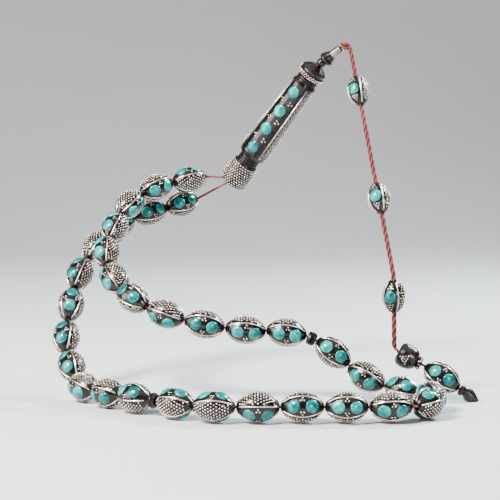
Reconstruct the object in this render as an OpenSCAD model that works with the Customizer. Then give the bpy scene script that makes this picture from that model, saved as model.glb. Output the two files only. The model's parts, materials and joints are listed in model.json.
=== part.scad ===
// Misbaha: thirty-three olive beads in three groups of eleven, two marker beads, a long head bead
// and a tassel cord with three small beads and a tail. It is draped over a support, and the origin
// is the crown of that support, right under the head bead. +Z is up and -Y is the front.

/* [Strand beads] */
// Length of a strand bead along its hole
bead_length = 13; // [10:0.5:16]
// Greatest diameter of a strand bead
bead_diameter = 9; // [7:0.25:10.8]
// Diameter of the flat round the hole at each end of a strand bead
bead_end_diameter = 2.2; // [2:0.1:3]
// Gap between two neighbours on the strand
bead_gap = 0.4; // [0.3:0.1:1.5]
// Length of a marker bead between two groups
marker_length = 2.8; // [2:0.2:4]
// Diameter of a marker bead
marker_diameter = 5; // [4:0.2:6.4]

/* [Cord] */
// Diameter of the single cord that carries the strand
strand_cord_diameter = 0.8; // [0.6:0.1:1]
// Diameter of the plied cord of the tassel
tassel_cord_diameter = 1.4; // [1:0.1:1.8]
// Space all round a cord in its hole
hole_clearance = 0.3; // [0.2:0.05:0.35]

/* [Head bead] */
// Length of the head bead's body
body_length = 34.5; // [28:0.5:42]
// Diameter of the body at its lower end
body_diameter = 10.8; // [9:0.2:13]
// Diameter of the body at its upper end
body_top_diameter = 8.8; // [8:0.2:12]
// Height of the barrel-shaped base
base_height = 9.4; // [7:0.2:12]
// Greatest diameter of the base
base_diameter = 10.3; // [9.4:0.1:13]
// Length of the turned neck on the base
neck_length = 3; // [2:0.2:5]
// Diameter of the turned necks
neck_diameter = 7.8; // [6:0.2:8.6]
// Height of the studded collar
collar_height = 4.2; // [3.6:0.2:6]
// Diameter of the studded collar at its upper edge
collar_diameter = 9.6; // [9:0.2:12]
// Height of the cap
cap_height = 2.8; // [2.6:0.2:5]
// Length of the turned finial
finial_length = 6.6; // [6.2:0.2:8]
// Diameter of the finial's widest ring
finial_diameter = 5.2; // [4.8:0.2:7]
// Length of the metal tube that the cord leaves by
tube_length = 3.8; // [2:0.2:5]
// Diameter of the metal tube
tube_diameter = 3; // [2.9:0.1:4]
// Width of each metal wire along the body
wire_width = 0.5; // [0.3:0.05:0.8]
// Angle round the body from the middle of a row of stones to the wires beside it
wire_angle = 50; // [40:1:55]
// Diameter of the stones in the body
stone_diameter = 4.6; // [3:0.2:5]
// Distance between two neighbouring stones in the body
stone_pitch = 8.3; // [6:0.1:9]

/* [Tassel] */
// Length of a tassel bead along its hole
small_bead_length = 10.4; // [8:0.2:12.6]
// Greatest diameter of a tassel bead
small_bead_diameter = 7.4; // [6:0.2:9]
// Diameter of the flat round the hole at each end of a tassel bead
small_bead_end_diameter = 2.9; // [2.9:0.1:3.5]
// Length of the acorn at the tassel's end
acorn_length = 8.4; // [7:0.2:10.4]
// Diameter of the acorn
acorn_diameter = 8; // [6.4:0.2:9.6]
// Length of the neck disc under the tail's bead
disc_length = 1.8; // [1.4:0.1:2.4]
// Diameter of the neck disc
disc_diameter = 3.8; // [3.4:0.1:5]
// Length of the pointed end
point_length = 5.6; // [4.6:0.2:7]
// Diameter of the pointed end
point_diameter = 4.4; // [3.6:0.2:6]

/* [Hidden] */
$fn = 96;
groups = ["a", "b", "c"];
group_size = 11;
bead_names = [for (g = groups) for (i = [1:group_size]) str("bead_", g, i < 10 ? "0" : "", i)];
head_names = ["head_base", "head_body", "head_wires", "head_stones", "head_collar", "head_cap",
              "head_finial", "head_tube"];
tassel_names = ["top_knot", "tassel_cord", "tassel_bead_1", "tassel_bead_2", "tassel_bead_3",
                "tail_cord", "tail_acorn", "tail_bead", "tail_disc", "tail_point"];

// Points that the strand follows from the first bead's middle to the last one's
strand_points = [
    [-19, 6, -7.5], [-41, -8, -14.5], [-53, -25, -30], [-56, -43, -50], [-53, -53, -58.5],
    [-48, -64, -63.5], [-30, -84, -63.5], [-17, -94, -63.5], [-5, -100, -63.5], [21, -100.5, -63.5],
    [48, -100, -63.5], [60, -95, -63.5], [63, -82, -63.5], [55, -71, -63.5], [43.5, -65, -60],
    [33, -62, -52.5], [26, -62, -48], [18, -62, -46], [5, -63, -45], [-9, -63.5, -43],
    [-21.5, -61, -40], [-32.5, -55, -35.5], [-39.5, -45, -30], [-43, -35, -22], [-41, -24.5, -14.5],
    [-36.5, -14, -6.5], [-27.5, -6, -1], [-16, 0, 1.5]];
// Points that the tassel cord follows from the knot to the acorn
tassel_points = [[40.5, -21.5, 48], [53, -56, -28], [53.3, -56, -51.2]];
// Places of the tassel beads: distance from the top of the cord's leg that each one is on
tassel_bead_1_drop = 16.5;
tassel_bead_2_drop = 56.5;
tassel_bead_3_drop = 6.4;

// The strand's route is scaled so that the beads fill it whatever their length
bead_pitch = bead_length + bead_gap;
marker_pitch = (bead_length + marker_length) / 2 + bead_gap + 0.1;
strand_need = 3 * (group_size - 1) * bead_pitch + 4 * marker_pitch;
samples = 8;

function unit(v) = v / norm(v);

// Catmull-Rom curve through points p, in span i at t from 0 to 1
function before(p, i) = i > 0 ? p[i - 1] : 2 * p[0] - p[1];
function after(p, i) = i + 2 < len(p) ? p[i + 2] : 2 * p[i + 1] - p[i];
function curve_at(p, i, t) = (2 * p[i] + (p[i + 1] - before(p, i)) * t
    + (2 * before(p, i) - 5 * p[i] + 4 * p[i + 1] - after(p, i)) * t * t
    + (3 * p[i] - before(p, i) - 3 * p[i + 1] + after(p, i)) * t * t * t) / 2;
function curve(p) = concat(
    [for (i = [0:len(p) - 2]) for (k = [0:samples - 1]) curve_at(p, i, k / samples)],
    [p[len(p) - 1]]);
function lengths(q) = [for (i = 0, s = 0; i < len(q);
    s = s + (i + 1 < len(q) ? norm(q[i + 1] - q[i]) : 0), i = i + 1) s];

drawn = curve(strand_points);
drawn_lengths = lengths(drawn);
route_scale = strand_need / drawn_lengths[len(drawn) - 1];
tables = [for (axis = [0:2]) [for (i = [0:len(drawn) - 1]) [drawn_lengths[i], drawn[i][axis]]]];
function route_at(s) = [for (axis = [0:2]) route_scale * lookup(s / route_scale, tables[axis])];
function route_tangent(s) = unit(route_at(s + 4) - route_at(s - 4));

// Distance along the route of bead i, from 0, and of marker m, 1 or 2
function bead_distance(i) = i * bead_pitch
    + floor(i / group_size) * (2 * marker_pitch - bead_pitch);
function marker_distance(m) = bead_distance(m * group_size - 1) + marker_pitch;

strand_hole = strand_cord_diameter + 2 * hole_clearance;
head_hole = 2 * strand_cord_diameter + 2 * hole_clearance;
tassel_hole = tassel_cord_diameter + 2 * hole_clearance;

// The head bead stands on the crown and leans to the right and to the front, and its finial is
// tipped further over on the cap
head_foot = [-0.2, 0.7, 1];
head_tilt = 40.8;
head_turn = -32.3;
finial_tilt = 56;
finial_turn = -25;
// Turn of the body about its hole, so that one row of stones faces the front
head_roll = -83;
function leaning(tilt, turn) = [sin(tilt) * cos(turn), sin(tilt) * sin(turn), cos(tilt)];
head_axis = leaning(head_tilt, head_turn);
finial_axis = leaning(finial_tilt, finial_turn);
head_side = [-sin(head_turn), cos(head_turn), 0];
body_start = base_height + neck_length;
body_end = body_start + body_length;
collar_end = body_end + collar_height;
cap_end = collar_end + cap_height;
function head_at(height) = head_foot + height * head_axis;
function finial_at(height) = head_at(cap_end) + height * finial_axis;
tube_end = finial_length + tube_length;
knot_radius = 1.5;
knot_centre = finial_at(tube_end + knot_radius + 0.1);
knot_to_cord = [2.05, 0.5, -0.8];
// Radius of the body at height z above its lower end, and how far wires and stones stand out
function body_radius(z) = (body_diameter + (body_top_diameter - body_diameter) * z / body_length) / 2;
body_lean = atan((body_diameter - body_top_diameter) / 2 / body_length);
inlay_depth = 0.6;
inlay_proud = 0.25;

// The tassel hangs from the knot: the drawn route moves with the knot's place
tassel_shift = knot_centre + knot_to_cord - tassel_points[0];
tassel_route = [for (p = tassel_points) p + tassel_shift];
upper_leg = unit(tassel_route[1] - tassel_route[0]);
lower_leg = unit(tassel_route[2] - tassel_route[1]);

// The tail's acorn and its bead hang at two angles from the cord's end
function dipping(dip, turn) = [cos(dip) * cos(turn), cos(dip) * sin(turn), -sin(dip)];
acorn_axis = dipping(27, -11);
tail_axis = dipping(31, -18);
tail_gap = 0.3;
acorn_start = tassel_route[2] + [1.4, -0.4, -1.6];
acorn_end = acorn_start + acorn_length * acorn_axis;
tail_bend = acorn_end + 0.9 * acorn_axis;
tail_bead_middle = tail_bend + (bead_length / 2 + 0.6) * tail_axis;
tail_disc_start = tail_bead_middle + (bead_length / 2 + tail_gap) * tail_axis;
tail_point_start = tail_disc_start + disc_length * tail_axis;

module along(start, axis) {
    translate(start)
        rotate([0, acos(axis[2]), atan2(axis[1], axis[0])])
            children();
}

// An olive on the Z axis: one arc from end to end in short steps, turned round the hole
olive_steps = 18;
module olive(length, diameter, end_diameter, hole) {
    rise = (diameter - end_diameter) / 2;
    arc_radius = (pow(length / 2, 2) + pow(rise, 2)) / (2 * rise);
    half_angle = asin(length / 2 / arc_radius);
    arc = [for (k = [0:olive_steps]) let (a = half_angle * (2 * k / olive_steps - 1))
        [arc_radius * (cos(a) - 1) + diameter / 2, arc_radius * sin(a)]];
    turned(concat([[hole / 2, -length / 2]], arc, [[hole / 2, length / 2]]));
}

module turned(profile) {
    rotate_extrude()
        polygon(profile);
}

// A tube of eight sides through the given points, each with the direction that its ring faces
sides = 8;
function level(v, n) = unit(v - (v * n) * n);
function bisectors(p) = [for (i = [0:len(p) - 1]) unit(
    (i + 1 < len(p) ? unit(p[i + 1] - p[i]) : [0, 0, 0]) + (i > 0 ? unit(p[i] - p[i - 1]) : [0, 0, 0]))];
function ring_starts(n, first) = [for (i = 0, v = level(first, n[0]); i < len(n);
    i = i + 1, v = i < len(n) ? level(v, n[i]) : v) v];

module tube(p, n, diameter, first) {
    u = ring_starts(n, first);
    points = [for (i = [0:len(p) - 1]) let (w = cross(n[i], u[i]))
        for (k = [0:sides - 1])
            p[i] + diameter / 2 * (cos(360 * k / sides) * u[i] + sin(360 * k / sides) * w)];
    walls = [for (i = [0:len(p) - 2]) for (k = [0:sides - 1])
        [i * sides + k, (i + 1) * sides + k,
         (i + 1) * sides + (k + 1) % sides, i * sides + (k + 1) % sides]];
    low_end = [for (k = [0:sides - 1]) k];
    high_end = [for (k = [sides - 1:-1:0]) (len(p) - 1) * sides + k];
    polyhedron(points = points, faces = concat([low_end], walls, [high_end]));
}

// Both ends of the strand's cord run side by side up the head bead and its finial
head_offset = strand_cord_diameter / 2 + 0.05;
function head_rings(way) = [for (ring = [[head_at(1.5), head_axis],
    [head_at(cap_end), unit(head_axis + finial_axis)], [finial_at(tube_end - 0.5), finial_axis]])
        [ring[0] + way * head_offset * head_side, -way * ring[1]]];
// The cord runs straight through each bead, and its rings there face along the bead
function strand_stop(s, length) = [for (way = [-1, 1])
    [route_at(s) + way * length / 2 * route_tangent(s), route_tangent(s)]];
strand_stops = [for (i = [0:3 * group_size - 1]) for (stop = concat(
    i > 0 && i % group_size == 0 ? strand_stop(marker_distance(i / group_size), marker_length) : [],
    strand_stop(bead_distance(i), bead_length))) stop];
strand_rings = concat([for (k = [2:-1:0]) head_rings(1)[k]], strand_stops, head_rings(-1));

module strand_cord() {
    color([0.45, 0.2, 0.18])
        tube([for (r = strand_rings) r[0]], [for (r = strand_rings) r[1]], strand_cord_diameter, head_side);
}

module strand_bead(i) {
    color([0.1, 0.08, 0.07])
        along(route_at(bead_distance(i)), route_tangent(bead_distance(i)))
            olive(bead_length, bead_diameter, bead_end_diameter, strand_hole);
}

module marker(m) {
    r = marker_diameter / 2;
    color([0.08, 0.07, 0.07])
        along(route_at(marker_distance(m)), route_tangent(marker_distance(m)))
            translate([0, 0, -marker_length / 2])
                turned([[strand_hole / 2, 0], [r - 0.7, 0], [r - 0.2, 0.25 * marker_length],
                        [r - 0.5, 0.38 * marker_length], [r, 0.5 * marker_length],
                        [r - 0.5, 0.62 * marker_length], [r - 0.2, 0.75 * marker_length],
                        [r - 0.7, marker_length], [strand_hole / 2, marker_length]]);
}

module on_head(height) {
    along(head_at(height), head_axis)
        children();
}

// Rings of a turned neck, as points of a profile from z = 0 to z = length
function rings(radius, length, number) = [for (k = [0:number - 1]) for (q = [
    [radius - 0.35, k], [radius, k + 0.3], [radius, k + 0.7], [radius - 0.35, k + 1]])
        [q[0], q[1] * length / number]];

// The base is a barrel, widest at a third of its height, with a wide mouth for the two cords
base_steps = 12;
module head_base() {
    neck = neck_diameter / 2;
    waist = base_height / 3;
    barrel = [for (k = [0:base_steps]) let (z = base_height * k / base_steps)
        [neck + (base_diameter / 2 - neck) * sqrt(max(0, 1 - pow((z - waist) / (base_height - waist), 2))),
         z]];
    color([0.5, 0.48, 0.45])
        on_head(0)
            difference() {
                turned(concat([[0, 0]], barrel,
                              [for (q = rings(neck, neck_length, 3)) [q[0], q[1] + base_height]],
                              [[0, body_start]]));
                translate([0, 0, -1])
                    cylinder(d = head_hole, h = body_start + 2);
                translate([0, 0, -1])
                    cylinder(d1 = base_diameter - 1.2, d2 = head_hole, h = 6.4);
            }
}

// The body is cut for its wires and its stones, so the four pieces fit without sharing space
module head_body() {
    color([0.12, 0.09, 0.08])
        on_head(body_start)
            difference() {
                turned([[head_hole / 2, 0], [neck_diameter / 2, 0], [body_diameter / 2 - 0.4, 0.5],
                        [body_radius(2), 2], [body_radius(body_length - 1.2), body_length - 1.2],
                        [body_top_diameter / 2 - 0.8, body_length], [head_hole / 2, body_length]]);
                wire_bars(0);
                stone_pins(0);
            }
}

module wire_bars(proud) {
    for (row = [0, 180], way = [-1, 1])
        rotate([0, 0, head_roll + row + way * wire_angle])
            translate([body_diameter / 2, 0, 0])
                rotate([0, -body_lean, 0])
                    translate([-inlay_depth, -wire_width / 2, 2])
                        cube([inlay_depth + (proud > 0 ? proud : 1), wire_width, body_length - 3.6]);
}

module stone_pins(proud) {
    for (k = [0, 1])
        rotate([0, 0, head_roll + 180 * k])
            for (i = [0:3])
                translate([body_radius(stone_height(i)), 0, stone_height(i)])
                    rotate([0, 90 - body_lean, 0])
                        translate([0, 0, -1])
                            cylinder(d = stone_diameter, h = 1 + (proud > 0 ? proud : 2));
}

function stone_height(i) = body_length / 2 + (i - 1.5) * stone_pitch;

module head_wires() {
    color([0.75, 0.73, 0.7])
        on_head(body_start)
            wire_bars(inlay_proud);
}

module head_stones() {
    color([0.2, 0.68, 0.66])
        on_head(body_start)
            stone_pins(inlay_proud);
}

module head_collar() {
    r = collar_diameter / 2;
    n = neck_diameter / 2;
    color([0.5, 0.48, 0.45])
        on_head(body_end)
            turned(concat([[head_hole / 2, 0]], rings(n, 1.6, 2),
                          [[r - 0.7, 2.2], [r, collar_height - 0.6], [r - 0.5, collar_height],
                           [head_hole / 2, collar_height]]));
}

module head_cap() {
    r = collar_diameter / 2 - 0.2;
    color([0.08, 0.07, 0.07])
        on_head(collar_end)
            turned([[head_hole / 2, 0], [r, 0], [r, 0.9], [r - 0.5, 1.3], [r - 0.8, 1.7],
                    [finial_diameter / 2 - 0.5, cap_height], [head_hole / 2, cap_height]]);
}

// The finial sits on the cap with a small ball, so it can tip over, and carries the tube
ball_radius = 1.7;
module head_finial() {
    r = finial_diameter / 2;
    low = -acos(head_hole / 2 / ball_radius);
    ball = [for (k = [0:8]) let (a = low + (40 - low) * k / 8)
        [ball_radius * cos(a), 0.05 + ball_radius * (1 + sin(a))]];
    color([0.1, 0.08, 0.08])
        along(finial_at(0), finial_axis)
            turned(concat(ball, [[r - 0.7, 3], [r - 0.2, 3.3], [r, 3.7], [r, 4.2], [r - 0.5, 4.6],
                                 [r - 0.3, 5], [r - 0.6, 5.6], [r - 1, finial_length],
                                 [head_hole / 2, finial_length]]));
}

module head_tube() {
    color([0.75, 0.73, 0.7])
        along(finial_at(finial_length), finial_axis)
            difference() {
                cylinder(d = tube_diameter, h = tube_length);
                translate([0, 0, -1])
                    cylinder(d = head_hole, h = tube_length + 2);
            }
}

module top_knot() {
    color([0.7, 0.4, 0.36])
        translate(knot_centre)
            sphere(r = knot_radius);
}

function leg_points(a, b, number) = [for (k = [0:number - 1]) a + (b - a) * k / number];
tassel_path = concat(leg_points(tassel_route[0], tassel_route[1], 6),
                     leg_points(tassel_route[1], tassel_route[2], 2), [tassel_route[2]]);

module tassel_cord() {
    color([0.62, 0.3, 0.27])
        tube(tassel_path, bisectors(tassel_path), tassel_cord_diameter, [0, 1, 0]);
}

module tassel_bead(start, axis, drop) {
    color([0.12, 0.1, 0.09])
        along(start + drop * axis, axis)
            olive(small_bead_length, small_bead_diameter, small_bead_end_diameter, tassel_hole);
}

// Inside the tail the cord runs on as one thread through the acorn, the bead and the disc
tail_path = [tassel_route[2], acorn_start, tail_bend - 0.4 * acorn_axis, tail_bend + 0.4 * tail_axis,
             tail_point_start];

module tail_cord() {
    color([0.45, 0.2, 0.18])
        tube(tail_path, [lower_leg, acorn_axis, acorn_axis, tail_axis, tail_axis],
             strand_cord_diameter, [0, 1, 0]);
}

module tail_acorn() {
    r = acorn_diameter / 2;
    l = acorn_length;
    color([0.1, 0.08, 0.08])
        along(acorn_start, acorn_axis)
            turned([[strand_hole / 2, 0], [0.72 * r, 0], [0.92 * r, 0.08 * l], [r, 0.22 * l],
                    [r, 0.45 * l], [0.92 * r, 0.62 * l], [0.72 * r, 0.76 * l], [0.5 * r, 0.82 * l],
                    [0.56 * r, 0.9 * l], [0.56 * r, 0.96 * l], [0.45 * r, l], [strand_hole / 2, l]]);
}

module tail_bead() {
    color([0.12, 0.1, 0.09])
        along(tail_bead_middle, tail_axis)
            olive(bead_length, bead_diameter, bead_end_diameter, strand_hole);
}

module tail_disc() {
    r = disc_diameter / 2;
    color([0.08, 0.07, 0.07])
        along(tail_disc_start, tail_axis)
            turned([[strand_hole / 2, 0], [r - 0.5, 0], [r, 0.3 * disc_length], [r, 0.6 * disc_length],
                    [r - 0.5, disc_length], [strand_hole / 2, disc_length]]);
}

module tail_point() {
    r = point_diameter / 2;
    l = point_length;
    color([0.08, 0.07, 0.07])
        along(tail_point_start, tail_axis)
            turned([[0, 0], [0.55 * r, 0], [0.95 * r, 0.2 * l], [r, 0.32 * l], [0.8 * r, 0.55 * l],
                    [0.4 * r, 0.8 * l], [0, l]]);
}

strand_cord();
for (i = [0:3 * group_size - 1])
    strand_bead(i);
marker(1);  // marker_1
marker(2);  // marker_2
head_base();
head_body();
head_wires();
head_stones();
head_collar();
head_cap();
head_finial();
head_tube();
top_knot();
tassel_cord();
tassel_bead(tassel_route[0], upper_leg, tassel_bead_1_drop);  // tassel_bead_1
tassel_bead(tassel_route[0], upper_leg, tassel_bead_2_drop);  // tassel_bead_2
tassel_bead(tassel_route[1], lower_leg, tassel_bead_3_drop);  // tassel_bead_3
tail_cord();
tail_acorn();
tail_bead();
tail_disc();
tail_point();
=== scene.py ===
import json
import math
import random

import bmesh
import bpy
from mathutils import Matrix, Vector


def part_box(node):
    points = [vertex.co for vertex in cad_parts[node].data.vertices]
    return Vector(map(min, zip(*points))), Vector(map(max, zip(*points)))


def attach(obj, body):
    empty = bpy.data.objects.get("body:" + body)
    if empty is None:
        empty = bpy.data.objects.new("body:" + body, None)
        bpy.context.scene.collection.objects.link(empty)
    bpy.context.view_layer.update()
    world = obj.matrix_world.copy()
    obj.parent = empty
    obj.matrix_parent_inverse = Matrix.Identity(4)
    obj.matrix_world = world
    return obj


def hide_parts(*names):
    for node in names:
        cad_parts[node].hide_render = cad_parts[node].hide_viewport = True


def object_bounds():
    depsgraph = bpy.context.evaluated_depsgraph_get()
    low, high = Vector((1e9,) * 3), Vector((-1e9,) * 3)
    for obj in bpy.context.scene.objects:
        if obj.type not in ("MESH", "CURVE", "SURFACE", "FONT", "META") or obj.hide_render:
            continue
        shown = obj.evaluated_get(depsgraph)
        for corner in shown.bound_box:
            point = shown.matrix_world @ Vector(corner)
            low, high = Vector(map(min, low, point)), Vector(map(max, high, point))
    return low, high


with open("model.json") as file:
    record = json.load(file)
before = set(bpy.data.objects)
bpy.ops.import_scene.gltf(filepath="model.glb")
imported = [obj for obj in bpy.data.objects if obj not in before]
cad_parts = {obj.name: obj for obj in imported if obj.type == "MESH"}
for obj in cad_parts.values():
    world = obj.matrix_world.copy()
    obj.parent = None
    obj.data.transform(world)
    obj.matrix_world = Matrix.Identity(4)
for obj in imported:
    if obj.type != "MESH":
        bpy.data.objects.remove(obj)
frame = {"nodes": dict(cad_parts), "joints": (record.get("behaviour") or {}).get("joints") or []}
cadBox = [list(corner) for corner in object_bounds()]
nodes = frame["nodes"]
joints = {joint["name"]: joint for joint in frame["joints"]}
mm = 0.001
fullTurn = 2 * math.pi
print("frame loaded:", len(nodes), "nodes")


def boxMiddle(node):
    low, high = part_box(node)
    return (low + high) / 2 / mm


def jointLine(name):
    return Vector(joints[name]["pos_m"]) / mm, Vector(joints[name]["axis"]).normalized()


# the camera stands level with the beads, far off, behind a long lens
cameraSet = {"place": (6.0, -574.7, 22.2), "tiltDown": 4.6, "lens": 114.4}
camera = bpy.data.objects.new("camera", bpy.data.cameras.new("camera"))
bpy.context.scene.collection.objects.link(camera)
camera.location = Vector(cameraSet["place"]) * mm
camera.rotation_euler = (math.radians(90 - cameraSet["tiltDown"]), 0, 0)
camera.data.lens = cameraSet["lens"]
bpy.context.scene.camera = camera


# a socket that can be used in sums
class Tap:
    def __init__(self, tree, socket=None):
        self.tree = tree
        self.socket = socket

    def make(self, kind, settings=None, inputs=None, out=0):
        node = self.tree.nodes.new("ShaderNode" + kind)
        for key, value in (settings or {}).items():
            if key == "stops":
                ramp = node.color_ramp.elements
                while len(ramp) < len(value):
                    ramp.new(1.0)
                for stop, (place, colour) in zip(ramp, value):
                    stop.position = place
                    stop.color = (*colour, 1)
            else:
                setattr(node, key, value)
        for key, value in (inputs or {}).items():
            if isinstance(value, Tap):
                self.tree.links.new(value.socket, node.inputs[key])
            else:
                node.inputs[key].default_value = value
        return Tap(self.tree, node.outputs[out])

    def sum(self, operation, first, second):
        return self.make("Math", {"operation": operation}, {0: first, 1: second})

    def __add__(self, other):
        return self.sum("ADD", self, other)

    def __radd__(self, other):
        return self.sum("ADD", other, self)

    def __sub__(self, other):
        return self.sum("SUBTRACT", self, other)

    def __rsub__(self, other):
        return self.sum("SUBTRACT", other, self)

    def __mul__(self, other):
        return self.sum("MULTIPLY", self, other)

    def __rmul__(self, other):
        return self.sum("MULTIPLY", other, self)

    def span(self, low, high):
        return self.make("MapRange", {}, {"Value": self, "From Min": low, "From Max": high})

    def noise(self, place, scale, detail=3.0, rough=0.55):
        return self.make("TexNoise", {}, {"Vector": place, "Scale": scale, "Detail": detail,
                                          "Roughness": rough})

    # a mix of two colours, in the Mix node's colour sockets
    def tint(self, mask, first, second):
        first, second = ((*c, 1) if isinstance(c, tuple) else c for c in (first, second))
        return self.make("Mix", {"data_type": "RGBA"}, {0: mask, 6: first, 7: second}, out=2)

    def bump(self, height, strength, distance):
        return self.make("Bump", {}, {"Strength": strength, "Distance": distance * mm,
                                      "Height": height})


def startFinish(name):
    finish = bpy.data.materials.new(name)
    finish.use_nodes = True
    tap = Tap(finish.node_tree)
    return finish, tap, tap.make("TexCoord", out=3)  # object coordinates


def endFinish(finish, fixed, varying):
    shader = finish.node_tree.nodes["Principled BSDF"]
    for key, value in fixed.items():
        shader.inputs[key].default_value = value
    for key, value in varying.items():
        finish.node_tree.links.new(value.socket, shader.inputs[key])
    return finish


# polished black coral: nearly black, brown in clouds, with growth lines and hair scratches
def blackCoral(name, look):
    finish, tap, place = startFinish(name)
    drawn = tap.make("Mapping", {}, {"Vector": place, "Scale": (1, 1, 5)})
    cloud = tap.noise(place, look["cloudScale"], 4)
    growth = tap.noise(drawn, look["growthScale"], 5, 0.65)
    wear = tap.noise(place, look["wearScale"], 6, 0.7)
    scratch = tap.noise(drawn, look["scratchScale"], 2)
    colour = tap.tint(cloud.span(0.42, 0.72), look["dark"], look["brown"])
    colour = tap.tint(growth.span(0.55, 0.8) * 0.35, colour, look["pale"])
    rough = wear.span(0.4, 0.75) * look["roughMore"] + look["rough"]
    return endFinish(finish, {"Coat Weight": look["coat"], "Coat Roughness": 0.1, "IOR": 1.5},
                     {"Base Color": colour, "Roughness": rough,
                      "Normal": tap.bump(scratch + wear * 0.6, 0.12, 0.04)})


# old silver: bright where hands rub it, warm grey tarnish elsewhere
def oldSilver(name, look):
    finish, tap, place = startFinish(name)
    patch = tap.noise(place, look["patchScale"], 4, 0.6)
    speck = tap.noise(place, look["speckScale"], 3, 0.7)
    dull = (patch.span(0.45, 0.78) * 0.7 + speck.span(0.55, 0.8) * 0.45) * look["tarnish"]
    colour = tap.tint(dull.span(0, 1), look["bright"], look["dull"])
    return endFinish(finish, {"Metallic": 1.0},
                     {"Base Color": colour, "Roughness": dull * 0.3 + look["rough"],
                      "Normal": tap.bump(speck, 0.25, 0.03)})


# turquoise: each stone has its own tone, with pale clouds and a few brown veins
def turquoise(name, look):
    finish, tap, place = startFinish(name)
    tone = tap.make("Attribute", {"attribute_name": "stoneTone"}, out=2)
    cloud = tap.noise(place, look["cloudScale"], 5, 0.6)
    fine = tap.noise(place, look["fineScale"], 4, 0.65)
    mixed = cloud.span(0.3, 0.72) * 0.62 + fine * 0.25 + tone * 0.4 - 0.2
    colour = tap.make("ValToRGB", {"stops": look["stops"]}, {"Fac": mixed})
    wander = tap.make("TexNoise", {}, {"Vector": place, "Scale": look["wanderScale"]}, out=1)
    warped = tap.make("VectorMath", {"operation": "MULTIPLY_ADD"},
                      {0: wander, 1: [look["wander"] * mm] * 3, 2: place})
    crack = tap.make("TexVoronoi", {"feature": "DISTANCE_TO_EDGE"},
                     {"Vector": warped, "Scale": look["veinScale"]})
    vein = (1 - crack.span(0.0, 0.05)) * cloud.span(0.5, 0.62) * look["vein"]
    colour = tap.tint(vein, colour, look["veinColour"])
    return endFinish(finish, {"Coat Weight": 0.3, "Coat Roughness": 0.08, "IOR": 1.52},
                     {"Base Color": colour, "Roughness": fine.span(0.4, 0.8) * 0.16 + 0.2,
                      "Normal": tap.bump(fine - vein, 0.2, 0.05)})


# red thread: fibres run along each ply, pale where they are rubbed, with painted shade darkening
# the grooves between the plies
def redThread(name, look, alongPly):
    finish, tap, place = startFinish(name)
    if alongPly:
        fibreSpace = tap.make("Attribute", {"attribute_name": "fibreLine"}, out=1)
    else:
        fibreSpace = place
    fibre = tap.noise(fibreSpace, look["fibreScale"], 4, 0.7)
    patch = tap.noise(place, look["patchScale"], 3, 0.6)
    colour = tap.tint(fibre.span(0.3, 0.75), look["deep"], look["pale"])
    colour = tap.tint(patch.span(0.5, 0.8) * 0.5, colour, look["faded"])
    if alongPly:
        # painted shade: the colour darkens towards the cord's core, in the grooves between the
        # plies
        grooveShadeMask = tap.make("Attribute", {"attribute_name": "plyReach"}, out=2)
        colour = tap.tint(grooveShadeMask.span(0.58, 0.97), look["grooveShade"], colour)
    return endFinish(finish, {"Sheen Weight": 0.12, "Sheen Roughness": 0.4},
                     {"Base Color": colour, "Roughness": fibre * 0.25 + 0.62,
                      "Normal": tap.bump(fibre, 0.7, 0.12)})


coral = blackCoral("black_coral", {
    "dark": (0.004, 0.0032, 0.003), "brown": (0.016, 0.008, 0.006),
    "pale": (0.04, 0.024, 0.019), "cloudScale": 420.0, "growthScale": 700.0,
    "wearScale": 1100.0, "scratchScale": 5200.0, "rough": 0.16, "roughMore": 0.22, "coat": 0.25})
horn = blackCoral("dark_horn", {
    "dark": (0.006, 0.005, 0.005), "brown": (0.022, 0.012, 0.009),
    "pale": (0.05, 0.035, 0.03), "cloudScale": 700.0, "growthScale": 1500.0,
    "wearScale": 1600.0, "scratchScale": 4200.0, "rough": 0.22, "roughMore": 0.25, "coat": 0.2})
silver = oldSilver("old_silver", {
    "bright": (0.74, 0.65, 0.59), "dull": (0.10, 0.07, 0.055), "patchScale": 330.0,
    "speckScale": 2600.0, "tarnish": 1.0, "rough": 0.22})
dullSilver = oldSilver("tarnished_silver", {
    "bright": (0.36, 0.33, 0.31), "dull": (0.07, 0.055, 0.05), "patchScale": 500.0,
    "speckScale": 2600.0, "tarnish": 1.1, "rough": 0.26})
stone = turquoise("turquoise_stone", {
    "stops": [(0.0, (0.0, 0.055, 0.055)), (0.3, (0.0, 0.12, 0.117)), (0.55, (0.003, 0.235, 0.222)),
              (0.78, (0.025, 0.40, 0.37)), (1.0, (0.32, 0.74, 0.68))],
    "cloudScale": 380.0, "fineScale": 1500.0, "wanderScale": 900.0, "wander": 1.2,
    "veinScale": 420.0, "vein": 0.75, "veinColour": (0.035, 0.03, 0.018)})
# the groove colour is painted shade for the hollows between the plies
threadLook = {"deep": (0.10, 0.016, 0.013), "pale": (0.30, 0.08, 0.065),
              "faded": (0.42, 0.17, 0.14), "grooveShade": (0.025, 0.004, 0.003),
              "fibreScale": 1.0, "patchScale": 160.0}
thread = redThread("red_thread", threadLook, True)
innerThread = redThread("inner_thread", {**threadLook, "fibreScale": 2600.0}, False)
print("finishes made")


# what is modelled below is in millimetres, and this turns it into a piece in metres
def newPiece(name, bm, finish, body, smooth=True):
    bmesh.ops.recalc_face_normals(bm, faces=bm.faces)
    bmesh.ops.scale(bm, vec=(mm, mm, mm), verts=bm.verts)
    mesh = bpy.data.meshes.new(name)
    bm.to_mesh(mesh)
    bm.free()
    if smooth:
        mesh.shade_smooth()
    piece = bpy.data.objects.new(name, mesh)
    bpy.context.scene.collection.objects.link(piece)
    mesh.materials.append(finish)
    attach(piece, body)
    return piece


def matrixFrom(across, along, up, place):
    return Matrix.Translation(place) @ Matrix((across, along, up)).transposed().to_4x4()


def tangentsOf(points):
    last = len(points) - 1
    return [(points[min(i + 1, last)] - points[max(i - 1, 0)]).normalized()
            for i in range(last + 1)]


fibreLook = {"round": 6.0, "along": 1.4}


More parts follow.
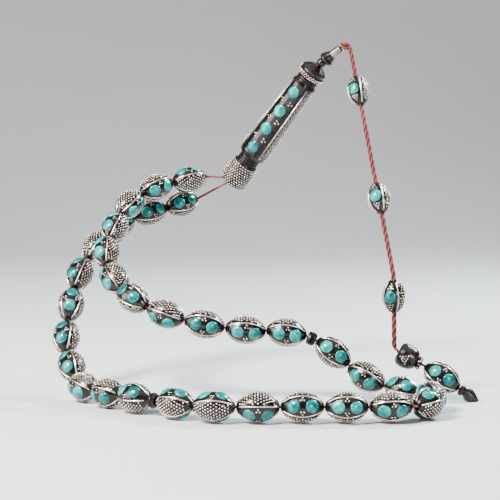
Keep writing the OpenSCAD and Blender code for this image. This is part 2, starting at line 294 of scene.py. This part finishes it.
# a cord or a ply: a ring that is extruded from point to point without twisting
def sweep(bm, points, width, sides, core=None):
    fibre = bm.verts.layers.float_vector.get("fibreLine")
    grooveShadeMask = bm.verts.layers.float.get("plyReach")
    tangents = tangentsOf(points)
    across = tangents[0].orthogonal().normalized()
    run = 0.0
    edges, before = None, None
    for i, (point, tangent) in enumerate(zip(points, tangents)):
        across = (across - across.dot(tangent) * tangent).normalized()
        here = matrixFrom(across, tangent.cross(across), tangent, point)
        if i == 0:
            made = bmesh.ops.create_circle(bm, segments=sides, radius=width / 2, matrix=here)
            ring = made["verts"]
            edges = list({edge for vert in ring for edge in vert.link_edges})
            firstEdges = edges
        else:
            made = bmesh.ops.extrude_edge_only(bm, edges=edges)["geom"]
            ring = [item for item in made if isinstance(item, bmesh.types.BMVert)]
            edges = [item for item in made if isinstance(item, bmesh.types.BMEdge)]
            bmesh.ops.transform(bm, matrix=here @ before.inverted(), verts=ring)
            run += (point - points[i - 1]).length
        before = here
        if fibre:
            for vert in ring:
                away = (vert.co - point) / (width / 2)
                vert[fibre] = (away.dot(across) * fibreLook["round"],
                               away.dot(tangent.cross(across)) * fibreLook["round"],
                               run * fibreLook["along"])
                # share of the way out from the cord's core; the thread's finish paints shade into
                # the grooves where this share is low
                fromCore, furthest = 1.0, 1.0
                if core:
                    fromCore = (vert.co - core[i]).length
                    furthest = (point - core[i]).length + width / 2
                vert[grooveShadeMask] = fromCore / furthest
    bmesh.ops.holes_fill(bm, edges=firstEdges + edges, sides=0)


def evenPoints(points, step):
    out, spare = [points[0].copy()], 0.0
    for a, b in zip(points, points[1:]):
        length = (b - a).length
        travelled = step - spare
        while travelled < length:
            out.append(a.lerp(b, travelled / length))
            travelled += step
        spare = length - (travelled - step)
    out.append(points[-1].copy())
    return out


def eased(points, passes):
    for _ in range(passes):
        points = [points[0]] + [(a + 2 * b + c) / 4 for a, b, c in
                                zip(points, points[1:], points[2:])] + [points[-1]]
    return points


def routeLength(points):
    return sum((b - a).length for a, b in zip(points, points[1:]))


def threadLayers(bm):
    bm.verts.layers.float_vector.new("fibreLine")
    # this layer holds the share that the thread's finish turns into painted groove shade
    bm.verts.layers.float.new("plyReach")


def plies(bm, points, count, offset, width, lay, sides):
    threadLayers(bm)
    tangents = tangentsOf(points)
    for k in range(count):
        across = tangents[0].orthogonal().normalized()
        run, line = 0.0, []
        for i, (point, tangent) in enumerate(zip(points, tangents)):
            across = (across - across.dot(tangent) * tangent).normalized()
            if i:
                run += (point - points[i - 1]).length
            turn = fullTurn * (k / count + run / lay)
            line.append(point + offset * (math.cos(turn) * across
                                          + math.sin(turn) * tangent.cross(across)))
        sweep(bm, line, width, sides, points)


# the plied cord of the tassel hangs from the knot to the acorn
tasselCord = {
    "knotToCord": (2.05, 0.5, -0.8), "leavesKnot": (1.1, 0.2, 0.55),
    "points": [(40.5, -21.5, 48), (53, -56, -28), (53.3, -56, -51.2)],
    "step": 0.4, "ease": 24, "width": 1.4, "plies": 3, "plyOffset": 0.45, "plyWidth": 0.8,
    "lay": 8.0, "sides": 8}
knotMiddle = boxMiddle("top_knot")
drawnRoute = [Vector(point) for point in tasselCord["points"]]
routeShift = knotMiddle + Vector(tasselCord["knotToCord"]) - drawnRoute[0]
tasselRoute = [knotMiddle + Vector(tasselCord["leavesKnot"])]
tasselRoute += [point + routeShift for point in drawnRoute]
tasselLine = eased(evenPoints(tasselRoute, tasselCord["step"]), tasselCord["ease"])
bm = bmesh.new()
plies(bm, tasselLine, tasselCord["plies"], tasselCord["plyOffset"], tasselCord["plyWidth"],
      tasselCord["lay"], tasselCord["sides"])
cordPiece = newPiece("tassel_cord_plied", bm, thread, "tassel")
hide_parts("tassel_cord")
print("tassel cord:", round(routeLength(tasselLine), 1), "mm")

# a finer thread runs on through the acorn and the tail's bead to the point
tailThread = {"intoAcorn": (1.4, -0.4, -1.6), "acorn": 8.4, "bend": 0.9, "pastBead": 8.6,
              "step": 0.4, "ease": 3,
              "plies": 3, "plyOffset": 0.25, "plyWidth": 0.46, "lay": 4.4, "sides": 6}
acornMiddle, acornAxis = jointLine("tail_acorn_spin")
tailMiddle, tailAxis = jointLine("tail_bead_spin")
tailBend = acornMiddle + acornAxis * (tailThread["acorn"] / 2 + tailThread["bend"])
tailLine = [tasselLine[-1], tasselLine[-1] + Vector(tailThread["intoAcorn"]), tailBend,
            tailMiddle + tailAxis * tailThread["pastBead"]]
tailLine = eased(evenPoints(tailLine, tailThread["step"]), tailThread["ease"])
bm = bmesh.new()
plies(bm, tailLine, tailThread["plies"], tailThread["plyOffset"], tailThread["plyWidth"],
      tailThread["lay"], tailThread["sides"])
tailPiece = newPiece("tail_cord_plied", bm, thread, "tassel")
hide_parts("tail_cord")


# a turned form that stones, pins and wires are set in
# heights run along its axis, and angles go round it from its front
class Form:
    def __init__(self, middle, axis, front, radiusAt):
        self.middle = middle
        self.axis = axis
        self.front = (front - front.dot(axis) * axis).normalized()
        self.side = axis.cross(self.front)
        self.radiusAt = radiusAt

    def outward(self, angle):
        return self.front * math.cos(angle) + self.side * math.sin(angle)

    def slope(self, height, step=0.02):
        return (self.radiusAt(height + step) - self.radiusAt(height - step)) / (2 * step)

    def spot(self, angle, height, lift=0.0):
        outward = self.outward(angle)
        normal = (outward - self.axis * self.slope(height)).normalized()
        return self.middle + self.axis * height + outward * self.radiusAt(height) + normal * lift

    def setting(self, angle, height, lift=0.0):
        outward = self.outward(angle)
        normal = (outward - self.axis * self.slope(height)).normalized()
        across = self.axis.cross(outward)
        return matrixFrom(across, normal.cross(across), normal, self.spot(angle, height, lift))


# the top of a ball one across, closed underneath: scaled to a pin's head or a cabochon
def cutBall(name, across, rows, cut):
    bm = bmesh.new()
    bmesh.ops.create_uvsphere(bm, u_segments=across, v_segments=rows, radius=0.5)
    bmesh.ops.bisect_plane(bm, geom=bm.verts[:] + bm.edges[:] + bm.faces[:],
                           plane_co=(0, 0, -cut), plane_no=(0, 0, -1), clear_outer=True)
    bmesh.ops.holes_fill(bm, edges=bm.edges, sides=0)
    mesh = bpy.data.meshes.new(name)
    bm.to_mesh(mesh)
    bm.free()
    return mesh


pinMesh = cutBall("pin", 8, 6, 0.16)
stoneMesh = cutBall("stone", 20, 12, 0.2)
pinLook = {"height": 0.7, "width": (0.88, 1.08), "oval": (0.92, 1.06)}  # shares of its width
stoneTones, stoneSizes = (0.1, 1.0), (0.95, 1.04)


def addPin(bm, form, angle, height, width, lift, chance):
    first = len(bm.verts)
    bm.from_mesh(pinMesh)
    bm.verts.ensure_lookup_table()
    wide = width * chance.uniform(*pinLook["width"])
    size = Matrix.Diagonal((wide * chance.uniform(*pinLook["oval"]), wide,
                            width * pinLook["height"], 1))
    bmesh.ops.transform(bm, matrix=form.setting(angle, height, lift) @ size,
                        verts=bm.verts[first:])


def addStone(bm, form, angle, height, width, rise, chance):
    tones = bm.verts.layers.float.get("stoneTone") or bm.verts.layers.float.new("stoneTone")
    first = len(bm.verts)
    bm.from_mesh(stoneMesh)
    bm.verts.ensure_lookup_table()
    tone = chance.uniform(*stoneTones)
    wide, long = (width * chance.uniform(*stoneSizes) for _ in range(2))
    lean = math.hypot(1, form.slope(height))
    for vert in bm.verts[first:]:
        x, y, z = vert.co
        up = height + y * long / lean
        vert.co = form.spot(angle + x * wide / form.radiusAt(up), up, z * 2 * rise)
        vert[tones] = tone


# rows of pins that fill a panel, each row half a pitch aside from the last
def studPanel(bm, form, middleAngle, halfAngle, low, high, look, chance):
    row, height = 0, low
    while height <= high:
        radius = form.radiusAt(height)
        count = int(radius * halfAngle / look["pitch"]) + 1
        for k in range(-count, count + 1):
            arc = (k + row % 2 * 0.5) * look["pitch"]
            if abs(arc) > radius * halfAngle - look["margin"]:
                continue
            addPin(bm, form, middleAngle + (arc + chance.gauss(0, look["stray"])) / radius,
                   height + chance.gauss(0, look["stray"]), look["pin"], look["lift"], chance)
        height += look["rowPitch"] / math.hypot(1, form.slope(height))
        row += 1


triadSpots = ((-0.58, 0.0), (0.29, 0.5), (0.29, -0.5))  # in pitches: round, along


def triad(bm, form, angle, height, way, pitch, look, chance):
    radius = form.radiusAt(height)
    for x, y in triadSpots:
        addPin(bm, form, angle + way * x * pitch / radius, height + y * pitch,
               look["pin"], look["lift"], chance)


# a wire let into the form: a flattened round bar that is spun along the bead's arc
def arcWire(bm, form, angle, arcRadius, rise, halfArc, look):
    outward = form.outward(angle)
    hub = form.middle - outward * (arcRadius - rise)
    start = outward * math.cos(halfArc) - form.axis * math.sin(halfArc)
    aroundAxis = form.axis.cross(outward)
    along = start.cross(aroundAxis)
    here = matrixFrom(aroundAxis, start, -along, hub + start * (arcRadius + look["lift"]))
    flat = Matrix.Diagonal((1, look["flat"], 1, 1))
    ring = bmesh.ops.create_circle(bm, cap_ends=True, segments=look["sides"],
                                   radius=look["width"] / 2, matrix=here @ flat)
    face = ring["verts"][0].link_faces[0]
    bmesh.ops.spin(bm, geom=[face, *face.edges, *face.verts], cent=hub,
                   axis=outward.cross(form.axis), angle=2 * halfArc, steps=look["steps"])


def olive(length, diameter, endDiameter):
    rise = (diameter - endDiameter) / 2
    arcRadius = ((length / 2) ** 2 + rise ** 2) / (2 * rise)

    def radiusAt(height):
        return math.sqrt(arcRadius ** 2 - height ** 2) - arcRadius + diameter / 2
    return radiusAt, arcRadius


beadLook = {
    "length": 13.0, "diameter": 9.0, "end": 2.2,
    "stone": 4.2, "stoneRise": 0.42, "stonePlace": 2.75, "stones": (-1, 1),
    "strayTurn": 0.02, "strayPlace": 0.06,
    "triadTurn": 27, "triadPitch": 0.95,
    "panelTo": 5.35, "panelHalf": 45,
    "studs": {"pitch": 1.02, "rowPitch": 0.86, "margin": 0.6, "pin": 0.62, "lift": 0.06,
              "stray": 0.02},
    "triads": {"pin": 0.58, "lift": 0.03},
    "wire": {"width": 0.56, "flat": 0.75, "lift": -0.02, "sides": 8, "steps": 14, "to": 6.2}}


def besideRows(angle):
    return [row + way * math.radians(angle) for row in (0, math.pi) for way in (-1, 1)]


def inlayBead(name, body, form, arcRadius, look, chance):
    bm = bmesh.new()
    halfArc = math.asin(look["wire"]["to"] / arcRadius)
    for angle in besideRows(look["panelHalf"]):
        arcWire(bm, form, angle, arcRadius, look["diameter"] / 2, halfArc, look["wire"])
    wires = newPiece(name + "_wires", bm, silver, body)
    bm = bmesh.new()
    for panel in (0, math.pi):
        for way in look["stones"]:
            addStone(bm, form, panel + chance.gauss(0, look["strayTurn"]),
                     way * look["stonePlace"] + chance.gauss(0, look["strayPlace"]),
                     look["stone"], look["stoneRise"], chance)
    stones = newPiece(name + "_stones", bm, stone, body)
    bm = bmesh.new()
    for panel in (0, math.pi):
        look["cluster"](bm, form, panel, look, chance)
        studPanel(bm, form, panel + math.pi / 2, math.radians(90 - look["panelHalf"]),
                  -look["panelTo"], look["panelTo"], look["studs"], chance)
    pins = newPiece(name + "_pins", bm, silver, body)
    return [wires, stones, pins]


# strand beads carry a triad of pins on each side between their two stones
def sideTriads(bm, form, panel, look, chance):
    for way in (-1, 1):
        triad(bm, form, panel + way * math.radians(look["triadTurn"]), 0, -way,
              look["triadPitch"], look["triads"], chance)


beadLook["cluster"] = sideTriads
beadTurns = {
    "a": (0, 0, 0, -45, 38, -3, 20, 18, 40, 28, -27),
    "b": (-66, -68, 45, -2, 2, 25, -45, 0, 30, -27, 4),
    "c": (-15, -19, -12, -48, 5, -52, -36, -38, 60, 25, -60)}
frontLift = math.radians(10)  # bead turns are counted from a little above level
towardsFront = Vector((0, -math.cos(frontLift), math.sin(frontLift)))


def turnedFront(axis, facing, turn):
    front = (facing - facing.dot(axis) * axis).normalized()
    return front * math.cos(math.radians(turn)) + axis.cross(front) * math.sin(math.radians(turn))


beadRadius, beadArc = olive(beadLook["length"], beadLook["diameter"], beadLook["end"])
for group, turns in beadTurns.items():
    for i, turn in enumerate(turns, 1):
        name = f"bead_{group}{i:02d}"
        middle, axis = jointLine(name + "_spin")
        form = Form(middle, axis, turnedFront(axis, towardsFront, turn), beadRadius)
        inlayBead(name, name + "_turns", form, beadArc, beadLook, random.Random(name))
print("strand beads inlaid")


wedgeRowShare = 0.85  # of a pitch, from one row to the next


# a wedge of pins: rows of the counts given, that start at a height and go on one way
def wedge(bm, form, angle, start, way, counts, pitch, look, chance):
    for row, count in enumerate(counts):
        height = start + way * row * pitch * wedgeRowShare
        for k in range(count):
            arc = (k - (count - 1) / 2) * pitch
            addPin(bm, form, angle + arc / form.radiusAt(height), height, look["pin"],
                   look["lift"], chance)


# the tassel's beads have one stone on each dark side, with wedges of pins above and below it
def endWedges(bm, form, panel, look, chance):
    for way in (-1, 1):
        wedge(bm, form, panel, way * look["wedgeStart"], way, look["wedge"],
              look["wedgePitch"], look["triads"], chance)


smallLook = {
    **beadLook, "length": 10.4, "diameter": 7.4, "end": 2.9, "stone": 4.3, "stoneRise": 0.4,
    "stonePlace": 0.0, "stones": (1,), "panelTo": 4.3, "cluster": endWedges,
    "wedge": (3, 2, 1), "wedgeStart": 2.7, "wedgePitch": 0.88,
    "triads": {"pin": 0.55, "lift": 0.03},
    "wire": {**beadLook["wire"], "to": 4.9}}
smallRadius, smallArc = olive(smallLook["length"], smallLook["diameter"], smallLook["end"])
onCord = []
smallTurns, tailTurn = (34, 25, 26), -5
for i, turn in enumerate(smallTurns, 1):
    name = f"tassel_bead_{i}"
    middle, axis = jointLine(name + "_slide")
    form = Form(middle, axis, turnedFront(axis, towardsFront, turn), smallRadius)
    onCord += inlayBead(name, name + "_slides", form, smallArc, smallLook, random.Random(name))
middle, axis = jointLine("tail_bead_spin")
form = Form(middle, axis, turnedFront(axis, towardsFront, tailTurn), beadRadius)
onCord += inlayBead("tail_bead", "tail", form, beadArc, beadLook, random.Random("tail"))
print("tassel beads inlaid")

# the acorn: wedges of pins round its body and a silver ring on its neck
acornLook = {"length": 8.4, "diameter": 8.0, "wedges": 4, "wedge": (1, 2, 3, 4), "pitch": 0.95,
             "start": 1.3, "pins": {"pin": 0.62, "lift": 0.03}, "turn": 20,
             "ringPins": 12, "ringPin": 0.55, "ringPlace": 0.93}
acornProfile = [(0.0, 0.72), (0.08, 0.92), (0.22, 1.0), (0.45, 1.0), (0.62, 0.92), (0.76, 0.72),
                (0.82, 0.5), (0.9, 0.56), (0.96, 0.56), (1.0, 0.45)]


def profileRadius(profile, length, radius):
    def radiusAt(height):
        share = min(max(height / length, 0.0), 1.0)
        for (h0, r0), (h1, r1) in zip(profile, profile[1:]):
            if share <= h1:
                return radius * (r0 + (r1 - r0) * (share - h0) / (h1 - h0))
        return radius * profile[-1][1]
    return radiusAt


middle, axis = jointLine("tail_acorn_spin")
acornStart = middle - axis * acornLook["length"] / 2
form = Form(acornStart, axis, turnedFront(axis, towardsFront, acornLook["turn"]),
            profileRadius(acornProfile, acornLook["length"], acornLook["diameter"] / 2))
chance = random.Random("acorn")
bm = bmesh.new()
for k in range(acornLook["wedges"]):
    wedge(bm, form, fullTurn * k / acornLook["wedges"], acornLook["start"], 1,
          acornLook["wedge"], acornLook["pitch"], acornLook["pins"], chance)
for k in range(acornLook["ringPins"]):
    addPin(bm, form, fullTurn * k / acornLook["ringPins"],
           acornLook["ringPlace"] * acornLook["length"], acornLook["ringPin"], 0.0, chance)
onCord.append(newPiece("tail_acorn_pins", bm, silver, "acorn"))

# the head bead
headLook = {
    "base": 9.4, "baseDiameter": 10.3, "neck": 3.0, "neckDiameter": 7.8, "body": 34.5,
    "bodyDiameter": 10.8, "topDiameter": 8.8, "collarDiameter": 9.6,
    "roll": -83, "stone": 4.6, "stoneRise": 0.5, "stonePitch": 8.3, "stones": 4,
    "strayTurn": 0.015, "triadTurn": 22, "triadPitch": 1.15, "wireAngle": 50,
    "bodyStuds": (2.4, 2.2), "baseStuds": (0.5, 8.9),  # room at each end; from and to
    "flare": (2.2, 3.6), "flareRise": 0.7, "flareStuds": (2.3, 3.8), "flareRow": 0.72,
    "triads": {"pin": 0.7, "lift": 0.04},
    "studs": {"pitch": 1.02, "rowPitch": 0.86, "margin": 0.6, "pin": 0.62, "lift": 0.04,
              "stray": 0.04},
    "roundStuds": {"pitch": 1.05, "rowPitch": 0.88, "margin": 0.0, "pin": 0.64, "lift": 0.05,
                  "stray": 0.02},
    "wire": {"width": 0.6, "flat": 0.8, "lift": 0.0, "sides": 10, "ends": (2.0, 1.6)}}
headMiddle, headAxis = jointLine("head_spin")
level = Vector((0, 0, 1)).cross(headAxis).normalized()
rolled = math.radians(headLook["roll"])
acrossHead = level.cross(headAxis)
headFront = acrossHead * math.cos(rolled) + level * math.sin(rolled)


def onHead(height):
    return headMiddle + headAxis * height


bodyStart = headLook["base"] + headLook["neck"]
bodyEnd = bodyStart + headLook["body"]


def bodyRadius(height):
    thinner = (headLook["topDiameter"] - headLook["bodyDiameter"]) * height / headLook["body"]
    return (headLook["bodyDiameter"] + thinner) / 2


headForm = Form(onHead(bodyStart), headAxis, headFront, bodyRadius)
chance = random.Random("head")
bm = bmesh.new()
rows = [headLook["body"] / 2 + (i - (headLook["stones"] - 1) / 2) * headLook["stonePitch"]
        for i in range(headLook["stones"])]
for panel in (0, math.pi):
    for height in rows:
        addStone(bm, headForm, panel + chance.gauss(0, headLook["strayTurn"]), height,
                 headLook["stone"], headLook["stoneRise"], chance)
headStones = newPiece("head_stones_domed", bm, stone, "head")
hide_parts("head_stones")
bm = bmesh.new()
for panel in (0, math.pi):
    for low, high in zip(rows, rows[1:]):
        for way in (-1, 1):
            triad(bm, headForm, panel + way * math.radians(headLook["triadTurn"]),
                  (low + high) / 2, -way, headLook["triadPitch"], headLook["triads"], chance)
    studPanel(bm, headForm, panel + math.pi / 2, math.radians(90 - headLook["wireAngle"]),
              headLook["bodyStuds"][0], headLook["body"] - headLook["bodyStuds"][1],
              headLook["studs"], chance)
newPiece("head_body_pins", bm, silver, "head")
bm = bmesh.new()
wire = headLook["wire"]
for angle in besideRows(headLook["wireAngle"]):
    start, end = (headForm.setting(angle, height, wire["lift"]) for height in
                  (wire["ends"][0], headLook["body"] - wire["ends"][1]))
    upright = Matrix.Rotation(math.radians(-90), 4, "X")
    flat = Matrix.Diagonal((1, wire["flat"], 1, 1))
    ring = bmesh.ops.create_circle(bm, cap_ends=True, segments=wire["sides"],
                                   radius=wire["width"] / 2, matrix=start @ upright @ flat)
    face = ring["verts"][0].link_faces[0]
    grown = bmesh.ops.extrude_face_region(bm, geom=[face])["geom"]
    bmesh.ops.translate(bm, vec=end.translation - start.translation,
                        verts=[item for item in grown if isinstance(item, bmesh.types.BMVert)])
headWires = newPiece("head_wires_rounded", bm, silver, "head")
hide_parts("head_wires")


def barrelRadius(height):
    neck, waist = headLook["neckDiameter"] / 2, headLook["base"] / 3
    share = (height - waist) / (headLook["base"] - waist)
    return neck + (headLook["baseDiameter"] / 2 - neck) * math.sqrt(max(0, 1 - share ** 2))


bm = bmesh.new()
barrelForm = Form(onHead(0), headAxis, headFront, barrelRadius)
studPanel(bm, barrelForm, 0, math.pi, *headLook["baseStuds"], headLook["roundStuds"], chance)
newPiece("head_base_pins", bm, silver, "head")


def collarRadius(height):
    low, high = headLook["flare"]
    share = (height - low) / (high - low)
    return headLook["collarDiameter"] / 2 - headLook["flareRise"] * (1 - share)


bm = bmesh.new()
collarForm = Form(onHead(bodyEnd), headAxis, headFront, collarRadius)
studPanel(bm, collarForm, 0, math.pi, *headLook["flareStuds"],
          {**headLook["roundStuds"], "rowPitch": headLook["flareRow"]}, chance)
newPiece("head_collar_pins", bm, silver, "head")
print("head bead inlaid")

# the knot above the tube: the cord's end wound three times over and under itself
knotLook = {"loops": 3, "ringRadius": 0.95, "swing": 0.45, "rise": 0.675, "width": 0.8,
            "points": 90, "sides": 8}
_, finialAxis = jointLine("finial_spin")
knotAcross = finialAxis.cross(level).normalized()
knotLevel = knotAcross.cross(finialAxis)
bm = bmesh.new()
threadLayers(bm)
loop = []
for i in range(knotLook["points"] + 1):
    turn = fullTurn * i / knotLook["points"]
    wide = knotLook["ringRadius"] + knotLook["swing"] * math.cos(knotLook["loops"] * turn)
    flatLoop = knotLevel * math.cos(2 * turn) + knotAcross * math.sin(2 * turn)
    loop.append(knotMiddle + flatLoop * wide
                + finialAxis * knotLook["rise"] * math.sin(knotLook["loops"] * turn))
sweep(bm, loop, knotLook["width"], knotLook["sides"])
knot = newPiece("top_knot_tied", bm, thread, "strand")
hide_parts("top_knot")
tasselLine[0] * mm
routeLength(tasselLine) * mm
[point * mm for point in tasselLine[::4] + [tasselLine[-1]]]

# finishes on the turned pieces
cadFinishes = {"strand_cord": innerThread, "tail_cord": innerThread, "head_tube": dullSilver}
for name, node in nodes.items():
    finish = cadFinishes.get(name)
    if finish is None:
        finish = coral if "bead" in name or name == "head_body" else horn
    node.data.materials.clear()
    node.data.materials.append(finish)
print("finishes assigned")

# the floor curves up into the back wall, so that no line shows behind the beads
stageLook = {"half": 3.0, "front": -3.0, "back": 0.5, "curve": 0.7, "steps": 24, "wall": 2.5}
bm = bmesh.new()
near = [bm.verts.new((side * stageLook["half"], stageLook["front"], cadBox[0][2]))
        for side in (-1, 1)]
edge = bm.edges.new(near)


def carryOn(edge, move):
    grown = bmesh.ops.extrude_edge_only(bm, edges=[edge])["geom"]
    bmesh.ops.translate(bm, vec=move,
                        verts=[item for item in grown if isinstance(item, bmesh.types.BMVert)])
    return next(e for e in grown if isinstance(e, bmesh.types.BMEdge))


edge = carryOn(edge, (0, stageLook["back"] - stageLook["front"], 0))
turned = bmesh.ops.spin(bm, geom=[edge, *edge.verts], axis=(1, 0, 0),
                        cent=(0, stageLook["back"], cadBox[0][2] + stageLook["curve"]),
                        angle=math.pi / 2, steps=stageLook["steps"])["geom_last"]
edge = next(e for e in turned if isinstance(e, bmesh.types.BMEdge))
carryOn(edge, (0, 0, stageLook["wall"]))
floorMesh = bpy.data.meshes.new("floor")
bm.to_mesh(floorMesh)
bm.free()
floorMesh.shade_smooth()
floor = bpy.data.objects.new("floor", floorMesh)
bpy.context.scene.collection.objects.link(floor)
floorFinish, tap, place = startFinish("pale_floor")
endFinish(floorFinish, {"Roughness": 0.8},
          {"Base Color": tap.tint(tap.noise(place, 6.0), (0.50, 0.50, 0.51), (0.56, 0.56, 0.56))})
floorMesh.materials.append(floorFinish)

world = bpy.data.worlds.new("room")
world.use_nodes = True
roomLook = {"Color": (0.70, 0.76, 0.84, 1), "Strength": 0.2}
for key, value in roomLook.items():
    world.node_tree.nodes["Background"].inputs[key].default_value = value
bpy.context.scene.world = world
lights = {
    "key": {"place": (-330, -380, 430), "size": 180, "power": 11.0, "colour": (1, 0.955, 0.91)},
    "side": {"place": (-620, -260, 160), "size": 420, "power": 4.5, "colour": (1, 0.94, 0.9)},
    "rim": {"place": (360, 180, 300), "size": 130, "power": 5.0, "colour": (0.80, 0.94, 1)},
    "fill": {"place": (330, -560, 90), "size": 160, "power": 1.2, "colour": (0.95, 0.97, 1)}}
for name, light in lights.items():
    lamp = bpy.data.objects.new(name, bpy.data.lights.new(name, "AREA"))
    lamp.data.size = light["size"] * mm
    lamp.data.energy = light["power"]
    lamp.data.color = light["colour"]
    lamp.location = Vector(light["place"]) * mm
    lamp.rotation_euler = (-lamp.location).to_track_quat("-Z", "Y").to_euler()
    bpy.context.scene.collection.objects.link(lamp)
# a weak, very soft light from above keeps the floor pale far out
overheadLook = {"energy": 0.9, "angle": 1.2, "lean": (0.2, 0.1, 0)}
overhead = bpy.data.objects.new("overhead", bpy.data.lights.new("overhead", "SUN"))
overhead.data.energy = overheadLook["energy"]
overhead.data.angle = overheadLook["angle"]
overhead.rotation_euler = overheadLook["lean"]
bpy.context.scene.collection.objects.link(overhead)
bpy.context.scene.view_settings.look = "AgX - Medium High Contrast"
print("room lit")
